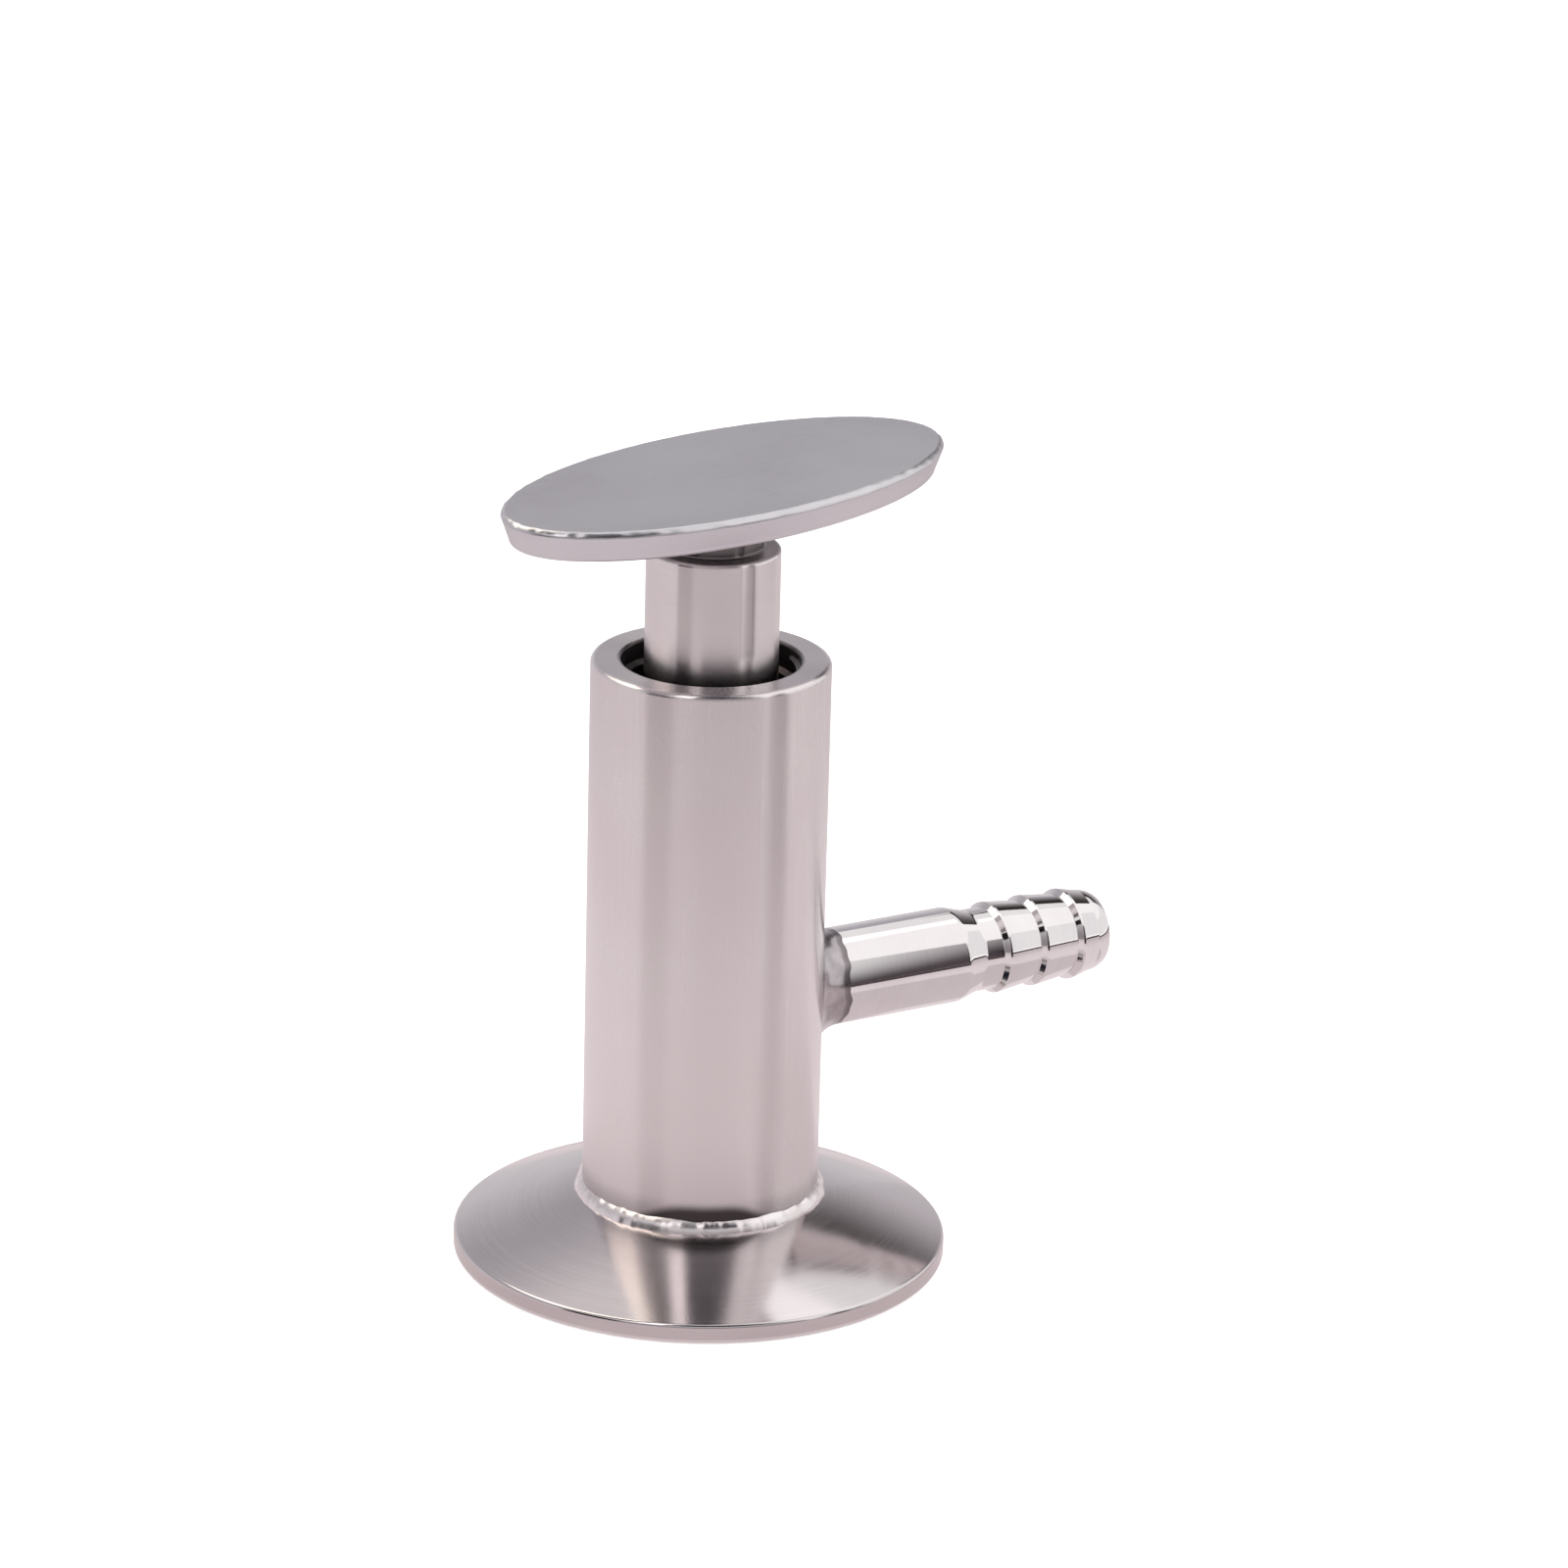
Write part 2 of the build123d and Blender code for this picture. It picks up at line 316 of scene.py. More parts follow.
def steel(name):
    look = finishes[name]
    material, wire, shader = newMaterial(name)
    position, x, y, z, radius = placeOn(wire, look["direction"])
    cloud = wire.noise(position, look["cloud"], 4.0, 0.55)
    marks = toolMarks(wire, look, position, x, y, z, radius)
    scuffX, scuffY, scuffZ = scuffs["perMetre"]
    scuffed = wire.noise(wire.xyz(x * scuffX, y * scuffY, z * scuffZ), 1.0, 6.0, 0.75)
    worn = scuffed.ramp(scuffs["from"], scuffs["full"])
    base = wire.blend((cloud * 0.65 + marks * 0.35).ramp(0.32, 0.68), look["shade"], look["colour"])
    # painted shade and painted dark reflection mixed into the base colour
    for part in paintedShade.get(name, ()):
        base = wire.blend(paintedShadeShare(part, cloud, x, y, z, radius), base, paintedShadeColour)
    rough = (marks * 0.6 + cloud * 0.4).ramp(0.25, 0.75, *look["roughness"]) + worn * scuffs["rougher"]
    height = marks * 0.7 + cloud * 0.3 - worn * scuffs["deeper"]
    join(wire, shader, base, rough, height, look["bump"])
    shader.inputs["Metallic"].default_value = 1.0
    shader.inputs["Anisotropic"].default_value = look["grain"]
    shader.inputs["Anisotropic Rotation"].default_value = 0.25
    return material


softLooks = {
    "blackRubber": {
        "colour": linear(38, 37, 37), "shade": linear(22, 22, 23), "roughness": (0.42, 0.6),
        "grain": 2500, "bump": 0.2,
    },
    "whitePtfe": {
        "colour": linear(236, 235, 230), "shade": linear(222, 220, 213), "roughness": (0.34, 0.5),
        "grain": 1400, "bump": 0.2,
    },
}


def softMaterial(name):
    look = softLooks[name]
    material, wire, shader = newMaterial(name)
    position = wire.make("ShaderNodeTexCoord", output=3)
    grain = wire.noise(position, look["grain"], 4.0)
    broad = wire.noise(position, look["grain"] / 8, 2.0)
    base = wire.blend((grain * 0.5 + broad * 0.5).ramp(0.35, 0.65), look["shade"], look["colour"])
    join(wire, shader, base, broad.ramp(0.3, 0.7, *look["roughness"]), grain, look["bump"])
    return material


def reach(node):
    # lowest and highest corner of a CAD node
    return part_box(node)


mounts = {mount["name"]: mount for mount in frame["record"]["mounts"]}
outletHeight = mounts["outlet_bore"]["pos_m"][2]
outletRadius = mounts["outlet_bore"]["dims"]["r_mm"] * mm
bodyRadius = reach("valve_body")[1].x
plateUnder = reach("handle_plate")[0].z
handleAngle = 15.0
lead = 2 * mm

materials = {name: steel(name) for name in finishes}
materials.update({name: softMaterial(name) for name in softLooks})
print("materials made:", len(materials))


# the straight run beside each arc, and the most of a side that one arc may take, as shares
straightRun = 0.08
mostTaken = 0.46


def softened(corners, closed, steps=5):
    # corners are (radius, height, rounding); each rounding becomes an arc between two short straight runs
    points = []
    count = len(corners)
    for index, (radius, height, rounding) in enumerate(corners):
        here = Vector((radius, height))
        if rounding <= 0 or (not closed and index in (0, count - 1)):
            points.append(here)
            continue
        before = Vector(corners[index - 1][:2]) - here
        after = Vector(corners[(index + 1) % count][:2]) - here
        angle = before.angle(after)
        cut = min(rounding / tan(angle / 2), before.length * mostTaken, after.length * mostTaken)
        arcRadius = cut * tan(angle / 2)
        before.normalize()
        after.normalize()
        centre = here + (before + after).normalized() * (arcRadius / sin(angle / 2))
        start = here + before * cut
        end = here + after * cut
        points.append(start + before * cut * straightRun)
        first = start - centre
        sweep = first.angle_signed(end - centre)
        for step in range(steps + 1):
            points.append(centre + Matrix.Rotation(-sweep * step / steps, 2) @ first)
        points.append(end + after * cut * straightRun)
    return points


def skinned(name, rings, closed):
    # quads between rings of points; a ring of one point closes an end
    mesh = bmesh.new()
    made = [[mesh.verts.new(point) for point in ring] for ring in rings]
    pairs = list(zip(made, made[1:]))
    if closed:
        pairs.append((made[-1], made[0]))
    for lower, upper in pairs:
        count = max(len(lower), len(upper))
        for index in range(count):
            after = (index + 1) % count
            if len(lower) == 1:
                mesh.faces.new((lower[0], upper[after], upper[index]))
            elif len(upper) == 1:
                mesh.faces.new((lower[index], lower[after], upper[0]))
            else:
                mesh.faces.new((lower[index], lower[after], upper[after], upper[index]))
    bmesh.ops.recalc_face_normals(mesh, faces=mesh.faces)
    data = bpy.data.meshes.new(name)
    mesh.to_mesh(data)
    mesh.free()
    piece = bpy.data.objects.new(name, data)
    bpy.context.scene.collection.objects.link(piece)
    return piece


def circle(radius, height, count):
    turns = [2 * pi * k / count for k in range(count)]
    return [(radius * cos(turn), radius * sin(turn), height) for turn in turns]


def turned(name, corners, closed=True, segments=192, alongX=False, steps=5):
    # a profile turned round the valve's axis, or round the hose tail's
    rings = []
    for radius, height in softened(corners, closed, steps):
        ring = [(0, 0, height)] if radius < 1e-7 else circle(radius, height, segments)
        if alongX:
            ring = [(along, x, outletHeight + y) for x, y, along in ring]
        rings.append(ring)
    return skinned(name, rings, closed)


def drilled(piece, drill):
    cut = piece.modifiers.new("drill", "BOOLEAN")
    cut.object = drill
    cut.solver = "EXACT"
    baked(piece)
    bpy.data.objects.remove(drill)


def finishPiece(piece, material, body, slotName, *nodes, sharp=38):
    piece.data.materials.clear()
    piece.data.materials.append(materials[material])
    for face in piece.data.polygons:
        face.use_smooth = True
    piece.data.set_sharp_from_angle(angle=radians(sharp))
    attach(piece, body)
    if nodes:
        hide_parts(*nodes)


def baked(piece):
    # the evaluated shape becomes the piece's own mesh, and its modifiers go
    bpy.context.view_layer.update()
    graph = bpy.context.evaluated_depsgraph_get()
    mesh = bpy.data.meshes.new_from_object(piece.evaluated_get(graph), depsgraph=graph)
    if piece.type == "MESH":
        piece.modifiers.clear()
        piece.data = mesh
        return piece
    result = bpy.data.objects.new(piece.name + "Mesh", mesh)
    name = piece.name
    bpy.data.objects.remove(piece)
    result.name = name
    bpy.context.scene.collection.objects.link(result)
    return result


# Geometry Nodes: a section swept along the object's own curve, uneven as a bead's or run out at its ends as
# a thread's
def sweepTree():
    tree = bpy.data.node_groups.new("sweepAlong", "GeometryNodeTree")
    face = tree.interface
    face.new_socket("Geometry", in_out="INPUT", socket_type="NodeSocketGeometry")
    sizes = {"Radius": 1 * mm, "Unevenness": 0.0, "Lumps": 420.0, "Taper": 0.0, "Stretch": 1.0}
    for label, value in sizes.items():
        face.new_socket(label, in_out="INPUT", socket_type="NodeSocketFloat").default_value = value
    face.new_socket("Corners", in_out="INPUT", socket_type="NodeSocketInt").default_value = 12
    face.new_socket("Seed", in_out="INPUT", socket_type="NodeSocketFloat").default_value = 3.0
    face.new_socket("Material", in_out="INPUT", socket_type="NodeSocketMaterial")
    face.new_socket("Geometry", in_out="OUTPUT", socket_type="NodeSocketGeometry")
    wire = Wire(tree)
    given = wire.make("NodeGroupInput")
    along = wire.make("GeometryNodeSplineParameter").out("Factor")
    position = wire.make("GeometryNodeInputPosition")
    lumps = wire.make("ShaderNodeTexNoise", {"noise_dimensions": "4D"}, {
        "Vector": position, "W": given.out("Seed"), "Scale": given.out("Lumps"), "Detail": 2.0,
    })
    size = 1 + (lumps - 0.5) * given.out("Unevenness")
    # both ends run out to nothing where there is a taper
    ends = (along * (1 - along) * 4) ** given.out("Taper")
    sized = wire.make("GeometryNodeSetCurveRadius", None,
                      {"Curve": given.out("Geometry"), "Radius": size * ends})
    section = wire.make("GeometryNodeCurvePrimitiveCircle", None,
                        {"Resolution": given.out("Corners"), "Radius": given.out("Radius")})
    flattened = wire.make("GeometryNodeTransform", None,
                          {"Geometry": section, "Scale": wire.xyz(1.0, given.out("Stretch"), 1.0)})
    skin = wire.make("GeometryNodeCurveToMesh", None, {
        "Curve": sized, "Profile Curve": flattened, "Fill Caps": True,
        "Scale": wire.make("GeometryNodeInputRadius"),
    })
    plain = wire.make("GeometryNodeRealizeInstances", None, {0: skin})
    coated = wire.make("GeometryNodeSetMaterial", None,
                       {"Geometry": plain, "Material": given.out("Material")})
    wire.make("NodeGroupOutput", None, {0: coated})
    return tree


sweepAlong = sweepTree()


def swept(name, points, cyclic, values, material):
    curve = bpy.data.curves.new(name, "CURVE")
    curve.dimensions = "3D"
    curve.twist_mode = "Z_UP"
    spline = curve.splines.new("POLY")
    spline.points.add(len(points) - 1)
    for spot, point in zip(spline.points, points):
        spot.co = (*point, 1)
    spline.use_cyclic_u = cyclic
    piece = bpy.data.objects.new(name, curve)
    bpy.context.scene.collection.objects.link(piece)
    modifier = piece.modifiers.new("sweep", "NODES")
    modifier.node_group = sweepAlong
    sockets = sweepAlong.interface.items_tree
    identifiers = {item.name: item.identifier for item in sockets if item.in_out == "INPUT"}
    for label, value in values.items():
        modifier[identifiers[label]] = value
    modifier[identifiers["Material"]] = materials[material]
    return baked(piece)


print("tools ready")


# The ferrule: flange with a sloping back, gasket groove below, orifice and seat inside
ferruleLook = {
    "rim": 2.0 * mm,
    "edge": 0.45 * mm,
    "groove": 21.8 * mm,
    "grooveRound": 1.4 * mm,
    "grooveDepth": 0.93,
    "grooveSteps": 12,
    "orifice": 5.0 * mm,
    "orificeLand": 2.18 * mm,
    "chamber": 7.6 * mm,
}


def makeFerrule(look):
    low, high = reach("clamp_ferrule")
    rim = high.x
    corners = [
        (look["orifice"], low.z, 0.15 * mm),
        (look["groove"] - look["grooveRound"], low.z, 0.12 * mm),
    ]
    for step in range(1, look["grooveSteps"]):
        turn = pi * (1 - step / look["grooveSteps"])
        depth = look["grooveRound"] * look["grooveDepth"] * sin(turn)
        corners.append((look["groove"] + look["grooveRound"] * cos(turn), low.z + depth, 0))
    corners += [
        (look["groove"] + look["grooveRound"], low.z, 0.12 * mm),
        (rim, low.z, look["edge"]),
        (rim, low.z + look["rim"], look["edge"]),
        (bodyRadius, high.z, 0),
        (look["chamber"], high.z, 0),
        (look["chamber"], look["orificeLand"] + look["chamber"] - look["orifice"], 0.1 * mm),
        (look["orifice"], look["orificeLand"], 0.1 * mm),
    ]
    piece = turned("ferruleDisc", corners, segments=256)
    finishPiece(piece, "turnedSteel", "housing", "turned_steel", "clamp_ferrule")


makeFerrule(ferruleLook)


# The body: upright tube, its mouth threaded inside, with a hole for the hose tail
bodyLook = {
    "mouth": 9.0 * mm,
    "outerEdge": 0.55 * mm,
    "innerEdge": 0.35 * mm,
    "footEdge": 0.5 * mm,
    "threadBottom": 49.4 * mm,
    "chamberTop": 48.0 * mm,
    "outletHole": 4.42 * mm,
    "holeSpan": (4 * mm, 20 * mm),
}

# the ridge of a thread, part sunk into the wall that carries it and run out at both ends
threadLook = {
    "size": 0.75 * mm,
    "sunk": 0.05 * mm,
    "turns": 6,
    "belowMouth": 1.0 * mm,
    "taper": 0.12,
    "stretch": 0.55,
    "perTurn": 72,
}


def makeThread(name, radius, start, turns, phase, material, body, slotName):
    look = threadLook
    points = []
    for step in range(int(turns * look["perTurn"]) + 1):
        turn = 2 * pi * step / look["perTurn"]
        height = start + lead * turn / (2 * pi)
        points.append((radius * cos(turn + phase), radius * sin(turn + phase), height))
    values = {"Radius": look["size"], "Corners": 4, "Taper": look["taper"], "Stretch": look["stretch"]}
    thread = swept(name, points, False, values, material)
    finishPiece(thread, material, body, slotName, sharp=25)


def makeBody(look):
    low, high = reach("valve_body")
    chamber = ferruleLook["chamber"]
    corners = [
        (chamber, low.z, 0),
        (high.x, low.z, look["footEdge"]),
        (high.x, high.z, look["outerEdge"]),
        (look["mouth"], high.z, look["innerEdge"]),
        (look["mouth"], look["threadBottom"], 0.1 * mm),
        (chamber, look["chamberTop"], 0.1 * mm),
    ]
    piece = turned("bodyTube", corners, segments=256, steps=6)
    first, last = look["holeSpan"]
    hole = [(0, first, 0), (look["outletHole"], first, 0), (look["outletHole"], last, 0), (0, last, 0)]
    drilled(piece, turned("drill", hole, closed=False, segments=64, alongX=True))
    finishPiece(piece, "satinSteel", "housing", "satin_steel", "valve_body")
    start = high.z - threadLook["belowMouth"] - threadLook["turns"] * lead
    makeThread("mouthThread", look["mouth"] + threadLook["sunk"], start, threadLook["turns"], 0.0,
               "satinSteel", "housing", "satin_steel")


makeBody(bodyLook)
print("ferrule and body made")


# Stem: threaded collar, piston with ring grooves, spindle with a socket for the plug
stemLook = {
    "shaft": 6.75 * mm,
    "neck": 5.0 * mm,
    "spigot": 4.0 * mm,
    "waist": 6.2 * mm,
    "piston": 7.52 * mm,
    "grooveFloor": 5.73 * mm,
    "bandFloor": 6.52 * mm,
    "spindle": 4.5 * mm,
    "socket": 2.55 * mm,
    "socketDepth": 9.0 * mm,
    "edge": 0.45 * mm,
    "shoulder": 75.4 * mm,
    "collar": (50.0 * mm, 57.0 * mm),
    "pistonSpan": (33.0 * mm, 45.0 * mm),
    "grooves": (35.8 * mm, 42.2 * mm),
    "grooveWidth": 2.4 * mm,
    "collarCore": 8.25 * mm,
    "threadAbove": 0.9 * mm,
    "threadShorter": 0.9,
}


def makeStem(look):
    low, high = reach("stem")
    collarLow, collarHigh = look["collar"]
    pistonLow, pistonHigh = look["pistonSpan"]
    half = look["grooveWidth"] / 2
    middle = sum(look["grooves"]) / 2
    socketTop = low.z + look["socketDepth"]
    corners = [(0, socketTop, 0), (look["socket"], socketTop, 0), (look["socket"], low.z, 0.15 * mm)]
    corners += [(look["spindle"], low.z, 0.3 * mm), (look["spindle"], pistonLow, 0.4 * mm)]
    corners += [(look["piston"], pistonLow, 0.3 * mm)]
    lowerGroove, upperGroove = look["grooves"]
    floors = {lowerGroove: look["grooveFloor"], middle: look["bandFloor"], upperGroove: look["grooveFloor"]}
    for centre, floor in floors.items():
        corners += [(look["piston"], centre - half, 0.1 * mm), (floor, centre - half, 0.12 * mm)]
        corners += [(floor, centre + half, 0.12 * mm), (look["piston"], centre + half, 0.1 * mm)]
    corners += [(look["piston"], pistonHigh, 0.3 * mm), (look["waist"], pistonHigh, 0.2 * mm)]
    corners += [(look["waist"], collarLow, 0.2 * mm), (look["collarCore"], collarLow, 0.3 * mm)]
    corners += [(look["collarCore"], collarHigh, 0.3 * mm), (look["shaft"], collarHigh, 0.3 * mm)]
    corners += [(look["shaft"], look["shoulder"], look["edge"])]
    corners += [(look["neck"], look["shoulder"], 0.25 * mm)]
    corners += [(look["neck"], plateUnder, 0), (look["spigot"], plateUnder, 0)]
    corners += [(look["spigot"], high.z, 0.2 * mm), (0, high.z, 0)]
    piece = turned("stemRod", corners, closed=False, segments=224)
    finishPiece(piece, "stemSteel", "spindle", "stem_steel", "stem")
    # half a turn out of step with the mouth's thread, so that the two ridges lie between each other
    turns = (collarHigh - collarLow) / lead - look["threadShorter"]
    inStep = reach("valve_body")[1].z - threadLook["belowMouth"] - lead * 4.5
    start = collarLow + look["threadAbove"]
    makeThread("collarThread", look["collarCore"] - threadLook["sunk"], start, turns,
               2 * pi * (start - inStep) / lead, "stemSteel", "spindle", "stem_steel")


makeStem(stemLook)


# Handle: flat oval plate. Its rim leans in towards the underside, and its top edge is a little worn.
handleLook = {
    "topEdge": 0.55 * mm,
    "lowEdge": 0.5 * mm,
    "lean": 0.9 * mm,
    "leanShares": (0.85, 0.8, 0.06),
    "wear": 0.09 * mm,
    "wearWaves": (23, 41, 67),
    "points": 320,
    "rings": 6,
    "edgeSteps": 6,
}


def makeHandle(look):
    low, high = reach("handle_plate")
    slant = radians(handleAngle)
    # the CAD box of a turned oval gives its centre and both of its half axes
    middle = (low + high) / 2
    across, along = (high.x - middle.x) ** 2, (high.y - middle.y) ** 2
    spread = cos(slant) ** 2 - sin(slant) ** 2
    longHalf = sqrt((across * cos(slant) ** 2 - along * sin(slant) ** 2) / spread)
    shortHalf = sqrt((along * cos(slant) ** 2 - across * sin(slant) ** 2) / spread)
    broad, fine, finest = look["wearWaves"]

    def oval(inset, height, wear=0.0):
        ring = []
        for step in range(look["points"]):
            turn = 2 * pi * step / look["points"]
            point = Vector((longHalf * cos(turn), shortHalf * sin(turn)))
            outward = Vector((cos(turn) / longHalf, sin(turn) / shortHalf)).normalized()
            ripple = (sin(broad * turn + 1) + sin(fine * turn) + sin(finest * turn + 2)) / 3
            x, y = point - outward * (inset + wear * (1 + ripple))
            turnedX = middle.x + x * cos(slant) - y * sin(slant)
            turnedY = middle.y + x * sin(slant) + y * cos(slant)
            ring.append((turnedX, turnedY, height))
        return ring

    def flat(height, inset, share):
        centre = Vector((middle.x, middle.y, height))
        return [centre.lerp(Vector(point), share) for point in oval(inset, height)]

    lowEdge, topEdge, lean = look["lowEdge"], look["topEdge"], look["lean"]
    turns = [pi / 2 * step / look["edgeSteps"] for step in range(look["edgeSteps"] + 1)]
    shares = [step / look["rings"] for step in range(1, look["rings"] + 1)]
    atEdge, aboveEdge, belowTop = look["leanShares"]
    # underside, lower edge, leaning rim, worn upper edge, top; each flat starts a little past a rounding
    rings = [[(middle.x, middle.y, low.z)]]
    rings += [flat(low.z, lean + lowEdge * 1.3, share) for share in shares]
    for turn in turns:
        rings.append(oval(lean * atEdge + lowEdge * (1 - sin(turn)), low.z + lowEdge * (1 - cos(turn))))
    rings.append(oval(lean * aboveEdge, low.z + lowEdge * 1.2))
    rings.append(oval(lean * belowTop, high.z - topEdge * 1.3))
    for turn in turns:
        worn = look["wear"] * sin(2 * turn)
        rings.append(oval(topEdge * (1 - cos(turn)), high.z - topEdge * (1 - sin(turn)), worn))
    rings += [flat(high.z, topEdge * 1.3, share) for share in reversed(shares)]
    rings.append([(middle.x, middle.y, high.z)])
    piece = skinned("ovalPlate", rings, False)
    finishPiece(piece, "handleSteel", "spindle", "handle_steel", "handle_plate", sharp=60)


makeHandle(handleLook)
print("stem and handle made")


# Hose tail: tube, taper and three barbs
tailLook = {
    "tube": 5.0 * mm,
    "spigot": 4.4 * mm,
    "spigotEnd": 8.4 * mm,
    "start": 13.6 * mm,
    "tubeEnd": 29.0 * mm,
    "taper": 2.3 * mm,
    "root": 4.33 * mm,
    "crest": 4.8 * mm,
    "firstCrest": 33.9 * mm,
    "pitch": 4.5 * mm,
    "barbs": 3,
    "back": 0.45 * mm,
    "land": 0.25 * mm,
    "nose": 1.7 * mm,
    "noseRadius": 3.75 * mm,
    "noseSteps": 6,
}


def makeTail(look):
    tip = reach("hose_tail")[1].x
    corners = [(look["spigot"], look["spigotEnd"], 0), (look["spigot"], look["start"], 0.04 * mm)]
    corners += [(look["tube"], look["start"], 0.1 * mm), (look["tube"], look["tubeEnd"], 2.2 * mm)]
    corners += [(look["root"], look["tubeEnd"] + look["taper"], 1.6 * mm)]
    for number in range(look["barbs"]):
        crest = look["firstCrest"] + number * look["pitch"]
        corners += [(look["root"], crest - look["back"], 0.09 * mm)]
        corners += [(look["crest"], crest, 0.07 * mm), (look["crest"], crest + look["land"], 0.3 * mm)]
    corners += [(look["root"], tip - look["nose"], 0.3 * mm)]
    # the nose is an arc that leaves the root level with the axis
    fall = look["root"] - look["noseRadius"]
    arcRadius = (look["nose"] ** 2 + fall ** 2) / (2 * fall)
    for step in range(1, look["noseSteps"]):
        ahead = look["nose"] * step / look["noseSteps"]
        radius = look["root"] - arcRadius + sqrt(arcRadius ** 2 - ahead ** 2)
        corners.append((radius, tip - look["nose"] + ahead, 0))
    corners.append((look["noseRadius"], tip, 0.35 * mm))
    corners += [(outletRadius, tip, 0.25 * mm), (outletRadius, look["spigotEnd"], 0)]
    piece = turned("hoseTail", corners, segments=192, alongX=True, steps=14)
    finishPiece(piece, "polishedSteel", "housing", "polished_steel", "hose_tail")


makeTail(tailLook)


# Weld beads. Those at the ferrule and under the handle show a shallow arc of a thick round section; the one
# round the outlet is a fillet, longest on one side, that waves a little in size.
weldLook = {
    "ferrule": {"leg": 0.85 * mm, "rise": 0.13 * mm, "uneven": 0.34 * mm, "seed": 3.0},
    "handle": {"leg": 0.8 * mm, "rise": 0.12 * mm, "uneven": 0.08 * mm, "seed": 5.0},
    "outlet": {
        "leg": 1.6 * mm,
        "stretch": 1.7,
        "longest": 1.62 * pi,
        "longer": 0.3,
        "waves": ((0.05, 3, 1), (0.03, 7, 2), (0.02, 17, 0)),
        "faces": 8,
        "sunk": 0.4 * mm,
        "depth": 1.0 * mm,
    },
    "points": 480,
}


def beadSection(look, first, second):
    # a fillet between two directions from its root, as the radius and centre of a round section
    first, second = Vector(first).normalized(), Vector(second).normalized()
    middle = (first + second) * look["leg"] / 2
    chord = (first - second).length * look["leg"]
    outward = middle.normalized()
    radius = (chord ** 2 / 4 + look["rise"] ** 2) / (2 * look["rise"])
    return radius, middle + outward * (look["rise"] - radius)


def makeRoundWeld(name, look, root, first, second, body, node, finish):
    radius, centre = beadSection(look, first, second)
    path = circle(root[0] + centre.x, root[1] + centre.y, weldLook["points"])
    uneven = 2 * look["uneven"] / radius
    values = {"Radius": radius, "Unevenness": uneven, "Seed": look["seed"], "Corners": 96}
    bead = swept(name, path, True, values, finish)
    finishPiece(bead, finish, body, "weld_steel", node, sharp=60)


def makeOutletWeld(look):
    # the toe of the fillet lies on the tube and its other edge on the body, all round the saddle
    def wall(y):
        return sqrt(bodyRadius ** 2 - y * y)

    inside = tailLook["tube"] - look["sunk"]
    rings = []
    for step in range(weldLook["points"]):
        turn = 2 * pi * step / weldLook["points"]
        waving = sum(size * sin(count * turn + shift) for size, count, shift in look["waves"])
        leg = look["leg"] * (1 + waving)
        length = look["stretch"] * (1 + look["longer"] * cos(turn - look["longest"]))
        ring = []
        for part in range(look["faces"] + 1):
            # from the body out to the tube, hollowed like a melted fillet
            bend = pi / 2 * part / look["faces"]
            away = tailLook["tube"] + leg * (1 - sin(bend))
            out = leg * (1 - cos(bend)) * length
            y, z = away * sin(turn), away * cos(turn)
            ring.append((wall(y) + out - 0.02 * mm, y, outletHeight + z))
        # then back under the surface of the tube and of the body
        y, z = inside * sin(turn), outletHeight + inside * cos(turn)
        ring += [(ring[-1][0], y, z), (wall(y) - look["depth"], y, z)]
        ring.append((wall(ring[0][1]) - look["depth"], ring[0][1], ring[0][2]))
        rings.append(ring)
    bead = skinned("outletBead", rings, True)
    finishPiece(bead, "weldSteel", "housing", "weld_steel", "outlet_weld", sharp=50)


def makeWelds(look):
    foot = reach("valve_body")[0].z
    # the direction in which the ferrule's back slopes
    back = radians(-20)
    makeRoundWeld("ferruleBead", look["ferrule"], (bodyRadius, foot), (0, 1), (cos(back), sin(back)),
                  "housing", "ferrule_weld", "meltedSteel")
    makeOutletWeld(look["outlet"])
    # the bead under the handle takes the finish with the painted shade
    makeRoundWeld("handleBead", look["handle"], (stemLook["neck"], plateUnder), (1, 0), (0, -1),
                  "spindle", "handle_weld", "burntSteel")


makeWelds(weldLook)
print("hose tail and welds made")


# Sealed inside: rings on the piston, then the plug with its soft seal, washer and screw
ringLook = {"cord": 0.9 * mm, "circle": 6.65 * mm, "bandInner": 6.54 * mm, "bandEdge": 0.15 * mm}


def makeRings(look):
    for node in ("lower_oring", "upper_oring"):
        low, high = reach(node)
        middle = (low.z + high.z) / 2
        cord = circle(look["cord"], 0, 24)
        corners = [(look["circle"] + out, middle + up, 0) for out, up, rounding in cord]
        piece = turned(node.replace("_o", "O"), corners, segments=144)
        finishPiece(piece, "blackRubber", "spindle", "black_elastomer", node)
    low, high = reach("guide_band")
    edge = look["bandEdge"]
    corners = [(look["bandInner"], low.z, edge), (high.x, low.z, edge)]
    corners += [(high.x, high.z, edge), (look["bandInner"], high.z, edge)]
    piece = turned("guideBand", corners, segments=144)
    finishPiece(piece, "whitePtfe", "spindle", "white_ptfe", "guide_band")


makeRings(ringLook)

plugLook = {
    "screwHole": 1.52 * mm,
    "holeDepth": 3.4 * mm,
    "disc": 2.2 * mm,
    "screw": 1.5 * mm,
    "pin": 2.5 * mm,
    "tip": 4.7 * mm,
    "washerEdge": 0.12 * mm,
    "socketFlats": 2.0 * mm,
    "socketDepth": 0.7 * mm,
    "wire": 0.4 * mm,
    "wireRoom": 0.1 * mm,
    "wireCircle": 2.525 * mm,
    "wireBelowTop": 2.0 * mm,
    "wireOpening": 50,
    "wireSteps": 60,
}


